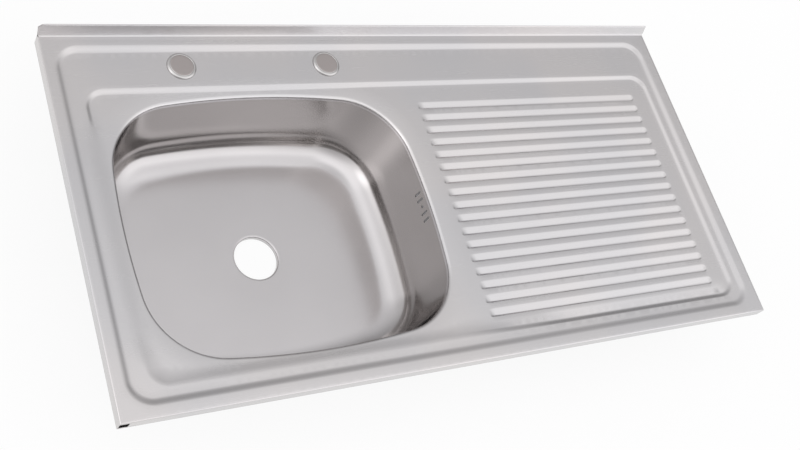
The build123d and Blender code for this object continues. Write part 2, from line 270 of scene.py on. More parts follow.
class Outline:
    """A rounded rectangle from its four sides."""

    def __init__(self, left, right, front, back, corner):
        self.left, self.right = left, right
        self.front, self.back = front, back
        self.corner = corner

    def depth(self, x, y):
        """How far a point lies inside; negative outside."""
        middle_x, half_x = (self.left + self.right) / 2, (self.right - self.left) / 2
        middle_y, half_y = (self.front + self.back) / 2, (self.back - self.front) / 2
        over_x = abs(x - middle_x) - (half_x - self.corner)
        over_y = abs(y - middle_y) - (half_y - self.corner)
        outside = math.hypot(max(over_x, 0), max(over_y, 0))
        return self.corner - outside - min(max(over_x, over_y), 0)

    def ring(self, inset, arc_steps=12, spacing=14.0):
        """Points along the outline moved inwards."""
        radius = self.corner - inset
        left_centre, right_centre = self.left + self.corner, self.right - self.corner
        front_centre, back_centre = self.front + self.corner, self.back - self.corner
        centres = [(right_centre, front_centre, -90), (right_centre, back_centre, 0)]
        centres += [(left_centre, back_centre, 90), (left_centre, front_centre, 180)]
        points = []
        for centre_x, centre_y, start in centres:
            for step in range(arc_steps + 1):
                turn = math.radians(start + 90 * step / arc_steps)
                points.append(on_circle((centre_x, centre_y), radius, turn))
        return spread(points, spacing)


ledge_outline = Outline(
    -half_length + left_rim,
    half_length - right_rim,
    front_y + front_rim,
    upstand_face_y - back_rim,
    ledge_corner,
)
basin_outline = Outline(
    ledge_outline.left + ledge_slope + left_ledge,
    ledge_outline.right - ledge_slope - right_ledge,
    ledge_outline.front + ledge_slope + front_ledge,
    ledge_outline.back - ledge_slope - tap_ledge,
    basin_corner,
)
flat_front = basin_outline.front + basin_slope
flat_back = basin_outline.back - basin_slope
for outline in (ledge_outline, basin_outline):
    outline_sides = (outline.left, outline.right, outline.front, outline.back)
    print("step outline, mm:", [round(side, 1) for side in outline_sides])

# %% [markdown]
# ## The bowl's mouth
#
# The mouth isn't a rounded rectangle: each side bows out a little, which stiffens the edge.
# Each side is a circle arc through its middle, and each corner is a circle that touches two
# of them. One quarter is worked out and mirrored, always with as many points, so that rings
# at different depths can be joined point to point.

# %% The mouth's outline, at any inset
bowl_length = 427.0
bowl_left_land, bowl_front_land, bowl_back_land = 9.5, 11.2, 10.1
short_bow, long_bow, bowl_corner = 14.5, 19.5, 96.0
bowl_width = flat_back - flat_front - bowl_front_land - bowl_back_land
bowl_x = basin_outline.left + basin_slope + bowl_left_land + bowl_length / 2
bowl_y = flat_front + bowl_front_land + bowl_width / 2
SHORT_STEPS, CORNER_STEPS, LONG_STEPS = 12, 16, 12


def arc_points(centre, start, end, steps):
    """Points on a circle from start to end, end left out."""
    first, last = Vector(start) - Vector(centre), Vector(end) - Vector(centre)
    angle = math.atan2(first.x * last.y - first.y * last.x, first.dot(last))
    from_angle = math.atan2(first.y, first.x)
    turns = [from_angle + angle * step / steps for step in range(steps)]
    return [on_circle(centre, first.length, turn) for turn in turns]


def side_circles(inset):
    """Centre and radius of the long and the short side, and the corner circle's centre."""
    half_x = bowl_length / 2 - short_bow - inset
    half_y = bowl_width / 2 - long_bow - inset
    long_radius = (half_x**2 + long_bow**2) / (2 * long_bow)
    short_radius = (half_y**2 + short_bow**2) / (2 * short_bow)
    long_centre = Vector((0, half_y + long_bow - long_radius))
    short_centre = Vector((half_x + short_bow - short_radius, 0))
    corner_radius = bowl_corner - inset
    reach_long, reach_short = long_radius - corner_radius, short_radius - corner_radius
    between = short_centre - long_centre
    along = (reach_long**2 - reach_short**2 + between.length_squared) / (2 * between.length)
    across = math.sqrt(reach_long**2 - along**2)
    direction = between.normalized()
    corner_centre = long_centre + direction * along + Vector((direction.y, -direction.x)) * across
    return long_centre, long_radius, short_centre, short_radius, corner_centre


def mouth_ring(inset):
    """The mouth's outline moved inwards, counter-clockwise from the middle of its right side."""
    long_centre, long_radius, short_centre, short_radius, corner_centre = side_circles(inset)
    on_short = short_centre + (corner_centre - short_centre).normalized() * short_radius
    on_long = long_centre + (corner_centre - long_centre).normalized() * long_radius
    right_middle = short_centre + Vector((short_radius, 0))
    back_middle = long_centre + Vector((0, long_radius))
    quarter = arc_points(short_centre, right_middle, on_short, SHORT_STEPS)
    quarter += arc_points(corner_centre, on_short, on_long, CORNER_STEPS)
    quarter += arc_points(long_centre, on_long, back_middle, LONG_STEPS)
    left_back = [(-x, y) for x, y in reversed(quarter[1:])]
    upper = quarter + [tuple(back_middle)] + left_back + [(-right_middle.x, 0)]
    lower = [(x, -y) for x, y in reversed(upper[1:-1])]
    return [(bowl_x + x, bowl_y + y) for x, y in upper + lower]


print("mouth, mm:", bowl_length, round(bowl_width, 1), "in", len(mouth_ring(0)), "points")

# %% [markdown]
# ## The lip and the wall
#
# The flat rolls down into the bowl over a small radius, and below the weld the wall leans in
# all the way to the floor's large radius. Both pieces share one section, so that the weld
# can't be seen, as on the polished real one.

# %% The section from the flat to the floor, as inset and height
bowl_low, bowl_high = (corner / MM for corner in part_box("bowl"))
bowl_depth = 131.5
floor_z = rim_z - bowl_depth
weld_z = bowl_high.z
wall_lean, floor_radius, lip_radius = 6.0, 38.0, 4.4
dish_drop, dish_width = 0.9, 25.0
LIP_STEPS, FLOOR_STEPS = 9, 14


def wall_inset(z):
    """How far the leaning wall has come in at a height."""
    return wall_lean * (weld_z - z) / (weld_z - floor_z)


def bowl_ring(inset, z):
    """The mouth's outline moved inwards, at a height."""
    return [(x, y, z) for x, y in mouth_ring(inset)]


def rounded_corner(before, corner, after, radius, steps):
    """An arc that rounds a corner; the points before and after it only give directions."""
    corner = Vector(corner)
    to_before = (Vector(before) - corner).normalized()
    to_after = (Vector(after) - corner).normalized()
    half_angle = to_before.angle(to_after) / 2
    start = corner + to_before * radius / math.tan(half_angle)
    end = corner + to_after * radius / math.tan(half_angle)
    centre = corner + (to_before + to_after).normalized() * radius / math.sin(half_angle)
    return arc_points(centre, start, end, steps) + [tuple(end)]


edge_z = basin_z - dish_drop
edge_slope = 2 * dish_drop / dish_width
lip_corner = (wall_inset(edge_z), edge_z)
lip_section = rounded_corner(
    (lip_corner[0] - 10, edge_z + 10 * edge_slope), lip_corner, (0, weld_z), lip_radius, LIP_STEPS
)
mouth_start = lip_section[0][0]
floor_section = rounded_corner(
    (0, weld_z), (wall_lean, floor_z), (wall_lean + 100, floor_z), floor_radius, FLOOR_STEPS
)
foot_z = floor_section[0][1]
print("lip starts at inset", round(mouth_start, 2), "and the wall's foot at", round(foot_z, 1))

# %% [markdown]
# ## The height of the deck
#
# One function gives the height of any point of the plan. The press doesn't fill the second
# step evenly: at the left and in front of the bowl it runs out into a wide soft slope, and
# the strip in front of the last groove falls towards the front, which is why it catches the
# light. Round the mouth the sheet is drawn down slightly.

# %% Height of any point
ledge_softness, basin_softness = 2.0, 1.2
# how much earlier and later the second step's slope runs, and between which lines that grows
soft_left, soft_front = (10.5, 7.0), (-1.0, 10.0)
soft_left_x, soft_left_y = (-415, -452), (135, 95)
soft_front_x, soft_front_y = (60, -50), (-150, -190)
# how far the strip in front of the grooves falls, and between which lines
front_fall, fall_start_y, fall_softness = 2.8, -195.5, 6
fall_begins_x, fall_ends_x = (60, 150), (452, 425)


def eased(share):
    """0 to 1 with level ends."""
    share = min(max(share, 0.0), 1.0)
    return share * share * (3 - 2 * share)


def ramp(value, start, end):
    """0 before start, 1 after end, eased in between; start may be the larger."""
    return eased((value - start) / (end - start))


def step_share(depth, width, softness):
    """How much of a step's drop a point has, with soft edges."""
    return eased((depth + softness) / (width + 2 * softness))


def soft_reach(x, y):
    """How much earlier the second step's slope starts at a point, and how much later it ends."""
    at_left = ramp(x, *soft_left_x) * ramp(y, *soft_left_y)
    in_front = ramp(x, *soft_front_x) * ramp(y, *soft_front_y)
    at_left *= 1 - in_front
    return tuple(at_left * left + in_front * front for left, front in zip(soft_left, soft_front))


def finder_of(points):
    """A search tree that gives the nearest of some points of the plan."""
    finder = KDTree(len(points))
    for number, (x, y) in enumerate(points):
        finder.insert((x, y, 0), number)
    finder.balance()
    return finder


mouth_finder = finder_of(spread(mouth_ring(mouth_start), 0.8))


def deck_height(x, y):
    """The height of the sheet's upper face at a point of the plan."""
    height = rim_z - ledge_drop * step_share(ledge_outline.depth(x, y), ledge_slope, ledge_softness)
    depth = basin_outline.depth(x, y)
    before, after = soft_reach(x, y)
    height -= basin_drop * step_share(depth + before, basin_slope + before + after, basin_softness)
    beside_grooves = ramp(x, *fall_begins_x) * ramp(x, *fall_ends_x)
    fall = min(max((fall_start_y - y) / (fall_start_y - basin_outline.front), 0), 1)
    height -= front_fall * fall * beside_grooves * ramp(depth, -basin_softness, fall_softness)
    to_mouth = mouth_finder.find((x, y, 0))[2]
    height -= dish_drop * max(0, 1 - to_mouth / dish_width) ** 2
    return height


sample_places = {"rim": (-490, 0), "ledge": (-473, 0), "drainboard": (440, 0), "basin": (0, 150)}
for place_name, sample_place in sample_places.items():
    print("height on the", place_name, "mm:", round(deck_height(*sample_place), 2))

# %% [markdown]
# ## One drain groove
#
# A groove is deepest close to its front, where a steep wall stops the water, and rises
# slowly towards the back. It grows shallow at its left end, next to the bowl. All grooves
# are alike, so one is modelled here and Geometry Nodes repeats it.

# %% Sizes and points of one groove, about its own middle
groove_pitch, groove_width, groove_depth = 20.0, 12.5, 2.2
groove_floor_width, groove_front_wall = 1.0, 1.5
groove_left_land, groove_right_land = 30.5, 29.5
groove_back_land, groove_front_land = 33.5, 21.0
groove_left = bowl_x + bowl_length / 2 + groove_left_land
groove_right = basin_outline.right - basin_slope - groove_right_land
groove_first_y = flat_back - groove_back_land
groove_count = 1 + math.floor((groove_first_y - flat_front - groove_front_land) / groove_pitch)
groove_fade = 15.0
left_end_lengths = [3, 6, 10, 15, 21, 28, 38, 52]
right_end_lengths = left_end_lengths[:6]
MIDDLE_PARTS = 12
groove_shares = (0, 0.05, 0.1, 0.16, 0.3, 0.5, 0.7, 0.84, 0.9, 0.95, 1)


def stadium(left, right, middle_y, width, end_steps=10):
    """A round-ended slot, counter-clockwise from the bottom of its left end."""
    radius = width / 2
    inner_left, inner_right = left + radius, right - radius
    reach = inner_right - inner_left
    middle = [reach * part / MIDDLE_PARTS for part in range(2, MIDDLE_PARTS - 1)]
    near_right = [reach - length for length in reversed(right_end_lengths)]
    stations = left_end_lengths + middle + near_right
    lower = [(inner_left + station, middle_y - radius) for station in stations]
    upper = [(x, 2 * middle_y - y) for x, y in reversed(lower)]
    right_end, left_end = [], []
    for step in range(end_steps + 1):
        turn = math.pi * step / end_steps - math.pi / 2
        right_end.append(on_circle((inner_right, middle_y), radius, turn))
        left_end.append(on_circle((inner_left, middle_y), -radius, turn))
    return lower + right_end + upper + left_end


def blended(share, round_share=0.16):
    """0 to 1 along a straight slope with rounded ends."""
    if share > 0.5:
        return 1 - blended(1 - share, round_share)
    if share < round_share:
        return share**2 / (2 * round_share * (1 - round_share))
    return (share - round_share / 2) / (1 - round_share)


groove_top = stadium(groove_left, groove_right, 0, groove_width)
groove_floor_y = -groove_width / 2 + groove_front_wall + groove_floor_width / 2
groove_bottom = stadium(
    groove_left + groove_width / 2 - groove_floor_width / 2,
    groove_right - groove_width / 2 + groove_floor_width / 2,
    groove_floor_y,
    groove_floor_width,
)
groove_rows = []
for share in groove_shares:
    row = []
    for (top_x, top_y), (low_x, low_y) in zip(groove_top, groove_bottom):
        x, y = top_x + (low_x - top_x) * share, top_y + (low_y - top_y) * share
        depth = groove_depth * ramp(x, groove_left, groove_left + groove_fade)
        row.append((x, y, basin_z - depth * blended(share)))
    groove_rows.append(row)
groove_surface = Surface()
groove_surface.add_rows(groove_rows, closed=True)
floor_ring = groove_rows[-1]
half_count = len(floor_ring) // 2
groove_surface.add_rows([floor_ring[:half_count], floor_ring[half_count:][::-1]])
one_groove = mesh_object("one_groove", groove_surface.points, groove_surface.faces)
print("grooves:", groove_count, "of", len(groove_surface.faces), "faces each")

# %% [markdown]
# ## The deck, seen from above
#
# The flat part of the sheet is filled with triangles between fixed lines: the outer edge, the
# steps' lines, and the edges of the mouth, the tap holes and the grooves. A constrained
# triangulation keeps all of these lines, and a few loose points in between keep the
# triangles small where the surface bends. The triangles inside a hole have all three corners
# on that hole's edge, which makes them easy to drop.

# %% Triangles between outlines
INSIDE_ONLY = 1             # the triangulation's mode that keeps what the first outline holds
SNAP = 1e-5


def triangulate(loops, lines, loose):
    """Triangles inside the first loop, outside the others; lines are kept as edges."""
    plan, edges, owner = [], [], {}
    for number, loop in enumerate(loops + lines):
        first = len(plan)
        plan += loop
        edges += [(first + i, first + (i + 1) % len(loop)) for i in range(len(loop))]
        if 0 < number < len(loops):
            owner.update({first + i: number for i in range(len(loop))})
    plan += loose
    corners = [Vector(point) for point in plan]
    places, _, triangles, origins = delaunay_2d_cdt(corners, edges, [], INSIDE_ONLY, SNAP, True)[:4]
    holes = [{owner.get(origin) for origin in origin_list} - {None} for origin_list in origins]
    kept = []
    for triangle in triangles:
        same_hole = set.intersection(*[holes[corner] for corner in triangle])
        if not same_hole:
            kept.append(tuple(triangle))
    return [tuple(place) for place in places], kept


def inside_loop(x, y, loop):
    """Even-odd test of a point against a closed outline."""
    inside = False
    for (x1, y1), (x2, y2) in zip(loop, loop[1:] + loop[:1]):
        if (y1 > y) != (y2 > y) and x < x1 + (y - y1) * (x2 - x1) / (y2 - y1):
            inside = not inside
    return inside


def clear_of(points, taken, gap):
    """The points that keep a distance from those already taken."""
    finder = finder_of(taken)
    return [point for point in points if finder.find((*point, 0))[2] > gap]


# %% Outlines of the deck's edge and holes
bend_radius = 2.0
bend_tangent = bend_radius * math.tan((math.pi / 2 - lean) / 2)
deck_back = upstand_face_y - bend_tangent
notch_length = 11.8
notch_x = -half_length + notch_length
station_step, first_side_station, first_front_station = 16, 228, -472
side_stations = [first_side_station - station_step * number for number in range(29)]
back_stations = [first_front_station + station_step * number for number in range(60)]
front_stations = [notch_x] + back_stations
tap_hole, tap_hole_land = 35.0, 23.2
tap_holes_shift, tap_hole_reach = 13.5, 106.0
tap_hole_y = ledge_outline.back - ledge_slope - tap_hole_land
tap_hole_xs = {
    "left": bowl_x + tap_holes_shift - tap_hole_reach,
    "right": bowl_x + tap_holes_shift + tap_hole_reach,
}


def open_row(inset, z, rear_y):
    """Points from the left rear round the front to the right rear, inset from the sink's faces."""
    x, y = half_length - inset, front_y + inset
    left = [(-x, rear_y, z)] + [(-x, station, z) for station in side_stations]
    front = [(-x, y, z)] + [(station, y, z) for station in front_stations] + [(x, y, z)]
    right = [(x, station, z) for station in reversed(side_stations)] + [(x, rear_y, z)]
    return left + front + right


def circle(centre_x, centre_y, radius, steps=64):
    """Points round a full circle."""
    turns = [2 * math.pi * step / steps for step in range(steps)]
    return [on_circle((centre_x, centre_y), radius, turn) for turn in turns]


deck_edge = [point[:2] for point in open_row(fold_radius, rim_z, deck_back)]
deck_edge += [(x, deck_back) for x in reversed(back_stations)]
mouth_edge = mouth_ring(mouth_start)
tap_edges = [circle(x, tap_hole_y, tap_hole / 2) for x in tap_hole_xs.values()]
groove_edges = [
    [(x, groove_first_y - number * groove_pitch + y) for x, y in groove_top]
    for number in range(groove_count)
]
STEP_PARTS = 10
step_lines = []
for outline, slope, softness in (
    (ledge_outline, ledge_slope, ledge_softness),
    (basin_outline, basin_slope, basin_softness),
):
    reach = slope + 2 * softness
    for part in range(STEP_PARTS + 1):
        step_lines.append(outline.ring(reach * part / STEP_PARTS - softness))
hole_edges = [mouth_edge, *tap_edges, *groove_edges]
print("holes:", len(hole_edges), "step lines:", len(step_lines))

# %% Loose points between the outlines
mouth_growths = (0.8, 2.2, 4.2, 7, 11, 16, 21, 26)
edge_support, support_gap, line_gap = 1.2, 0.5, 1.0
fixed = [point for loop in [deck_edge, *hole_edges, *step_lines] for point in loop]
support = open_row(fold_radius + edge_support, rim_z, deck_back - edge_support)
loose = clear_of([point[:2] for point in support], fixed, support_gap)
for growth in mouth_growths:
    loose += clear_of(mouth_ring(mouth_start - growth), fixed + loose, line_gap)


def in_a_hole(x, y):
    """Whether a point of the plan lies in the mouth, a tap hole or a groove."""
    holes = [(hole_x, tap_hole_y) for hole_x in tap_hole_xs.values()]
    in_tap_hole = any(math.dist((x, y), hole) < tap_hole / 2 for hole in holes)
    beside = groove_left - 1 < x < groove_right + 1
    among = groove_first_y - groove_count * groove_pitch < y < groove_first_y + groove_width
    to_groove = abs((y - groove_first_y + groove_pitch / 2) % groove_pitch - groove_pitch / 2)
    in_groove = beside and among and to_groove < groove_width / 2 + 1
    return in_tap_hole or in_groove or inside_loop(x, y, mouth_edge)


grid_step, grid_gap, edge_margin, upstand_margin = 9.0, 3.5, 4, 3
grid = []
for column in range(round(2 * half_length / grid_step)):
    for row in range(round((deck_back - front_y) / grid_step)):
        x, y = -half_length + (column + 0.5) * grid_step, front_y + (row + 0.5) * grid_step
        near_side = abs(x) >= half_length - edge_margin or y <= front_y + edge_margin
        near_upstand = y >= deck_back - upstand_margin
        if not (near_side or near_upstand or in_a_hole(x, y)):
            grid.append((x, y))
loose += clear_of(grid, fixed + loose, grid_gap)
print("points on outlines:", len(fixed), "and loose:", len(loose))

# %% Fill the deck
plan, triangles = triangulate([deck_edge, *hole_edges], step_lines, loose)
top = Surface()
top.add_faces([(x, y, deck_height(x, y)) for x, y in plan], triangles)
print("deck:", len(plan), "points,", len(triangles), "triangles")

# %% [markdown]
# ## Folded edges, skirts and the upstand
#
# The sheet turns down over a small radius at the front and the sides, and turns in again
# under the skirts as a flange to stand on. Its back edge goes the other way: it bends up,
# leans back, folds over on itself and runs down as the back skirt. Each of these is a list of
# rows of points, and the rows meet the deck's edge point for point.

# %% Folds and skirts
seat_reach = 14.8
under_radius = 1.2
mitre_gap = 1.1
notch_top_z, skirt_middle_z = rim_z - 3, 8
FOLD_STEPS, UNDER_STEPS = 6, 4

fold_rows = []
for step in range(FOLD_STEPS + 1):
    share = step / FOLD_STEPS
    turn = math.pi / 2 * step / FOLD_STEPS
    fold_rows.append(
        open_row(
            fold_radius * (1 - math.sin(turn)),
            rim_z - fold_radius * (1 - math.cos(turn)),
            deck_back + (back_y - deck_back) * share,
        )
    )
top.add_rows(fold_rows)


def closed_row(inset, z):
    """The open row, closed along the back."""
    back = [(x, back_y - inset, z) for x in reversed(back_stations)]
    return open_row(inset, z, back_y - inset) + back


skirt_section = [(0, rim_z - fold_radius), (0, notch_top_z), (0, skirt_middle_z), (0, under_radius)]
for step in range(1, UNDER_STEPS + 1):
    turn = math.pi / 2 * step / UNDER_STEPS
    skirt_section.append((under_radius * (1 - math.cos(turn)), under_radius * (1 - math.sin(turn))))
notch_step = len(side_stations) + 1
top.add_rows(
    [closed_row(inset, z) for inset, z in skirt_section],
    closed=True,
    skip=lambda row, step: step == notch_step and row in (1, 2),
)
print("skirt rows:", len(skirt_section))


# %% Seat flange, one strip a side, with open mitres
def flange_rows(stations, reach, place):
    """The outer and inner row of one side's strip."""
    outer_end, inner_end = reach - under_radius, reach - seat_reach - mitre_gap
    outer = [-outer_end, *stations, outer_end]
    mitred = [min(max(s, -inner_end), inner_end) for s in stations]
    inner = [-inner_end, *mitred, inner_end]
    return [[place(s, under_radius) for s in outer], [place(s, seat_reach) for s in inner]]


sides = (
    (side_stations[::-1], back_y, lambda s, inset: (-half_length + inset, s, 0)),
    (side_stations[::-1], back_y, lambda s, inset: (half_length - inset, s, 0)),
    (front_stations, half_length, lambda s, inset: (s, front_y + inset, 0)),
    (back_stations, half_length, lambda s, inset: (s, back_y - inset, 0)),
)
for stations, reach, place in sides:
    top.add_rows(flange_rows(stations, reach, place))
print("flange strips:", len(sides))

# %% The upstand: up, over and down again as the back skirt
clip_length, clip_height = 7.0, 4.0
clip_start = upstand_z - clip_height
hem_radius, foot_height = 0.8, 2
BEND_STEPS, HEM_STEPS = 6, 8
face_run = Vector((math.sin(lean), math.cos(lean)))
face_normal = Vector((-math.cos(lean), math.sin(lean)))
upstand_foot = Vector((upstand_face_y, rim_z))


def on_face(foot_y, z):
    """A point at a height of the leaning face that stands at foot_y."""
    return foot_y + (z - rim_z) * math.tan(lean), z


hem_centre = Vector((0, upstand_z - hem_radius))
hem_centre.x = on_face((upstand_face_y + back_y) / 2, hem_centre.y)[0]
face_heights = (rim_z + 5, clip_start, clip_start + 2)
upstand_section = rounded_corner(
    (deck_back - 10, rim_z), upstand_foot, upstand_foot + face_run * 9, bend_radius, BEND_STEPS
)
upstand_section += [on_face(upstand_face_y, z) for z in face_heights]
for step in range(HEM_STEPS + 1):
    turn = math.atan2(face_normal.y, face_normal.x) - math.pi * step / HEM_STEPS
    upstand_section.append(on_circle(hem_centre, hem_radius, turn))
front_count = len(upstand_section)
upstand_section += [on_face(back_y, z) for z in reversed(face_heights)]
upstand_section += [(back_y, rim_z), (back_y, rim_z - fold_radius)]
upstand_rows = []
for number, (y, z) in enumerate(upstand_section):
    foot_inset = 0
    if number < front_count:
        foot_inset = fold_radius * (1 - ramp(z, rim_z, rim_z + foot_height))
    clipped = clip_length * max(0, z - clip_start) / clip_height
    left_x, right_x = -half_length + foot_inset + clipped, half_length - foot_inset
    upstand_rows.append([(left_x, y, z), *[(x, y, z) for x in back_stations], (right_x, y, z)])
top.add_rows(upstand_rows)
print("upstand rows:", len(upstand_rows), "highest", round(max(z for _, z in upstand_section), 2))

# %% The lip of the mouth
edge_rises = [deck_height(x, y) - lip_section[0][1] for x, y in mouth_edge]
lip_rows = []
for number, (inset, z) in enumerate(lip_section):
    kept = 1 - number / (len(lip_section) - 1)
    row = []
    for (x, y), edge_rise in zip(mouth_ring(inset), edge_rises):
        row.append((x, y, z + edge_rise * kept))
    lip_rows.append(row)
lip_rows.append([(x, y, weld_z) for x, y in mouth_ring(0)])
top.add_rows(lip_rows, closed=True)
print("top so far:", len(top.points), "points,", len(top.faces), "faces")

# %% [markdown]
# ## Repeating the groove with Geometry Nodes
#
# A row of equal grooves is a rule, and a rule is what Geometry Nodes are for. The tree puts
# the one groove on a line of points, makes the copies real, joins them to the sheet and
# merges the points along the holes' edges, so that sheet and grooves are one skin.

# %% A tree that repeats an object along a line and welds it to a sheet
def add_node(tree, kind, inputs=(), **settings):
    """A node with its settings, and its inputs by name as values or linked sockets."""
    node = tree.nodes.new(kind)
    for name, value in settings.items():
        setattr(node, name, value)
    for name, value in dict(inputs).items():
        socket = node.inputs[name]
        if isinstance(value, bpy.types.NodeSocket):
            tree.links.new(value, socket)
        else:
            socket.default_value = value
    return node


def tree_with(name, kind, inputs, outputs):
    """A node group with named sockets, and its input and output nodes."""
    tree = bpy.data.node_groups.new(name, kind)
    for socket_name, socket_type in inputs:
        tree.interface.new_socket(socket_name, in_out="INPUT", socket_type=socket_type)
    for socket_name, socket_type in outputs:
        tree.interface.new_socket(socket_name, in_out="OUTPUT", socket_type=socket_type)
    return tree, tree.nodes.new("NodeGroupInput"), tree.nodes.new("NodeGroupOutput")


def repeat_along_line():
    """The tree: one groove on every point of a line, made real and welded to the sheet."""
    sockets = [("Sheet", "NodeSocketGeometry"), ("Groove", "NodeSocketObject")]
    sockets += [("Count", "NodeSocketInt"), ("First", "NodeSocketVector")]
    sockets += [("Step", "NodeSocketVector"), ("Weld distance", "NodeSocketFloat")]
    sockets += [("Finish", "NodeSocketMaterial")]
    results = [("Sheet", "NodeSocketGeometry")]
    tree, given, out = tree_with("repeat_along_line", "GeometryNodeTree", sockets, results)
    given = given.outputs
    line = add_node(
        tree,
        "GeometryNodeMeshLine",
        {"Count": given["Count"], "Start Location": given["First"], "Offset": given["Step"]},
    )
    source = add_node(tree, "GeometryNodeObjectInfo", {"Object": given["Groove"]})
    copies = add_node(
        tree,
        "GeometryNodeInstanceOnPoints",
        {"Points": line.outputs[0], "Instance": source.outputs["Geometry"]},
    )
    joined = tree.nodes.new("GeometryNodeJoinGeometry")
    tree.links.new(copies.outputs[0], joined.inputs[0])
    tree.links.new(given["Sheet"], joined.inputs[0])
    real = add_node(tree, "GeometryNodeRealizeInstances", {"Geometry": joined.outputs[0]})
    welded = add_node(
        tree,
        "GeometryNodeMergeByDistance",
        {"Geometry": real.outputs[0], "Distance": given["Weld distance"]},
    )
    finished = add_node(
        tree,
        "GeometryNodeSetMaterial",
        {"Geometry": welded.outputs[0], "Material": given["Finish"]},
    )
    tree.links.new(finished.outputs[0], out.inputs[0])
    return tree


def run_tree(piece, tree, **values):
    """Runs a Geometry Nodes tree on a piece with inputs by name, and keeps the plain result."""
    modifier = piece.modifiers.new("nodes", "NODES")
    modifier.node_group = tree
    for item in tree.interface.items_tree:
        if item.item_type == "SOCKET" and item.in_out == "INPUT" and item.name in values:
            modifier[item.identifier] = values[item.name]
    make_plain(piece)


# %% [markdown]
# ## Satin steel
#
# Rolled stainless steel isn't a mirror. Fine lines from the rolls and the polishing belt run
# along the sheet, so reflections are soft, and the sheet is a little warmer in some places
# than in others. Both effects are one shader group, which every finish here uses with its
# own values.

# %% Shader group: belt grain
GRAIN_STRETCH = (0.012, 1.0, 1.0)     # along X, as the sheet was rolled
STREAK_STRETCH = (0.08, 1.0, 1.0)


def belt_grain():
    """The group: colour clouds, fine lines in tone and roughness, and the lines' height."""
    sockets = [("Vector", "NodeSocketVector"), ("Colour", "NodeSocketColor")]
    sockets += [("Cloud colour", "NodeSocketColor"), ("Cloud scale", "NodeSocketFloat")]
    sockets += [("Grain scale", "NodeSocketFloat"), ("Roughness", "NodeSocketFloat")]
    sockets += [("Roughness spread", "NodeSocketFloat")]
    results = [("Colour", "NodeSocketColor"), ("Roughness", "NodeSocketFloat")]
    results += [("Height", "NodeSocketFloat")]
    tree, given, out = tree_with("belt_grain", "ShaderNodeTree", sockets, results)
    given = given.outputs
    grain_place = add_node(
        tree, "ShaderNodeMapping", {"Vector": given["Vector"], "Scale": GRAIN_STRETCH}
    )
    grain = add_node(
        tree,
        "ShaderNodeTexNoise",
        {
            "Vector": grain_place.outputs[0],
            "Scale": given["Grain scale"],
            "Detail": 5.0,
            "Roughness": 0.7,
        },
    )
    streak_place = add_node(
        tree, "ShaderNodeMapping", {"Vector": given["Vector"], "Scale": STREAK_STRETCH}
    )
    streak = add_node(
        tree,
        "ShaderNodeTexNoise",
        {"Vector": streak_place.outputs[0], "Scale": 90.0, "Detail": 3.0},
    )
    cloud = add_node(
        tree,
        "ShaderNodeTexNoise",
        {
            "Vector": given["Vector"],
            "Scale": given["Cloud scale"],
            "Detail": 2.0,
            "Roughness": 0.4,
        },
    )
    cloud_share = add_node(
        tree,
        "ShaderNodeMapRange",
        {"Value": cloud.outputs[0], "From Min": 0.35, "From Max": 0.65},
        interpolation_type="SMOOTHSTEP",
    )
    clouded = add_node(
        tree,
        "ShaderNodeMix",
        {0: cloud_share.outputs[0], 6: given["Colour"], 7: given["Cloud colour"]},
        data_type="RGBA",
    )
    darker = add_node(
        tree,
        "ShaderNodeMapRange",
        {
            "Value": grain.outputs[0],
            "From Min": 0.3,
            "From Max": 0.7,
            "To Min": 0.985,
            "To Max": 1.01,
        },
    )
    toned = add_node(
        tree,
        "ShaderNodeVectorMath",
        {0: clouded.outputs[2], 1: darker.outputs[0]},
        operation="MULTIPLY",
    )
    mixed = add_node(
        tree, "ShaderNodeMath", {0: grain.outputs[0], 1: streak.outputs[0]}, operation="ADD"
    )
    centred = add_node(
        tree, "ShaderNodeMath", {0: mixed.outputs[0], 1: 1.0}, operation="SUBTRACT"
    )
    rough = add_node(
        tree,
        "ShaderNodeMath",
        {0: centred.outputs[0], 1: given["Roughness spread"], 2: given["Roughness"]},
        operation="MULTIPLY_ADD",
    )
    tree.links.new(toned.outputs[0], out.inputs["Colour"])
    tree.links.new(rough.outputs[0], out.inputs["Roughness"])
    tree.links.new(grain.outputs[0], out.inputs["Height"])
    return tree


grain_group = belt_grain()
group_inputs = [item for item in grain_group.interface.items_tree if item.in_out == "INPUT"]
print("shader group:", grain_group.name, "takes", [item.name for item in group_inputs])

# %% A steel made with the group
BUMP_DISTANCE = 0.0002


def steel(
    name,
    colour,
    cloud_colour,
    roughness,
    spread_by,
    bump,
    cloud_scale=5.0,
    grain_scale=2600.0,
):
    """A metal finish with the group's grain and clouds, in its own colours."""
    material = bpy.data.materials.new(name)
    material.use_nodes = True
    tree = material.node_tree
    shader = tree.nodes["Principled BSDF"]
    place = add_node(tree, "ShaderNodeTexCoord")
    group = add_node(tree, "ShaderNodeGroup", node_tree=grain_group)
    values = {"Colour": (*colour, 1), "Cloud colour": (*cloud_colour, 1)}
    values |= {"Cloud scale": cloud_scale, "Grain scale": grain_scale}
    values |= {"Roughness": roughness, "Roughness spread": spread_by}
    for socket_name, value in values.items():
        group.inputs[socket_name].default_value = value
    tree.links.new(place.outputs["Object"], group.inputs["Vector"])
    relief = add_node(
        tree,
        "ShaderNodeBump",
        {"Strength": bump, "Distance": BUMP_DISTANCE, "Height": group.outputs["Height"]},
    )
    shader.inputs["Metallic"].default_value = 1.0
    tree.links.new(group.outputs["Colour"], shader.inputs["Base Color"])
    tree.links.new(group.outputs["Roughness"], shader.inputs["Roughness"])
    tree.links.new(relief.outputs[0], shader.inputs["Normal"])
    material.diffuse_color = (*colour, 1)
    return material


satin_steel = steel(
    "satin_steel", (0.635, 0.615, 0.612), (0.60, 0.592, 0.60), 0.26, spread_by=0.06, bump=0.02
)
print("finish of the pressed top:", satin_steel.name)

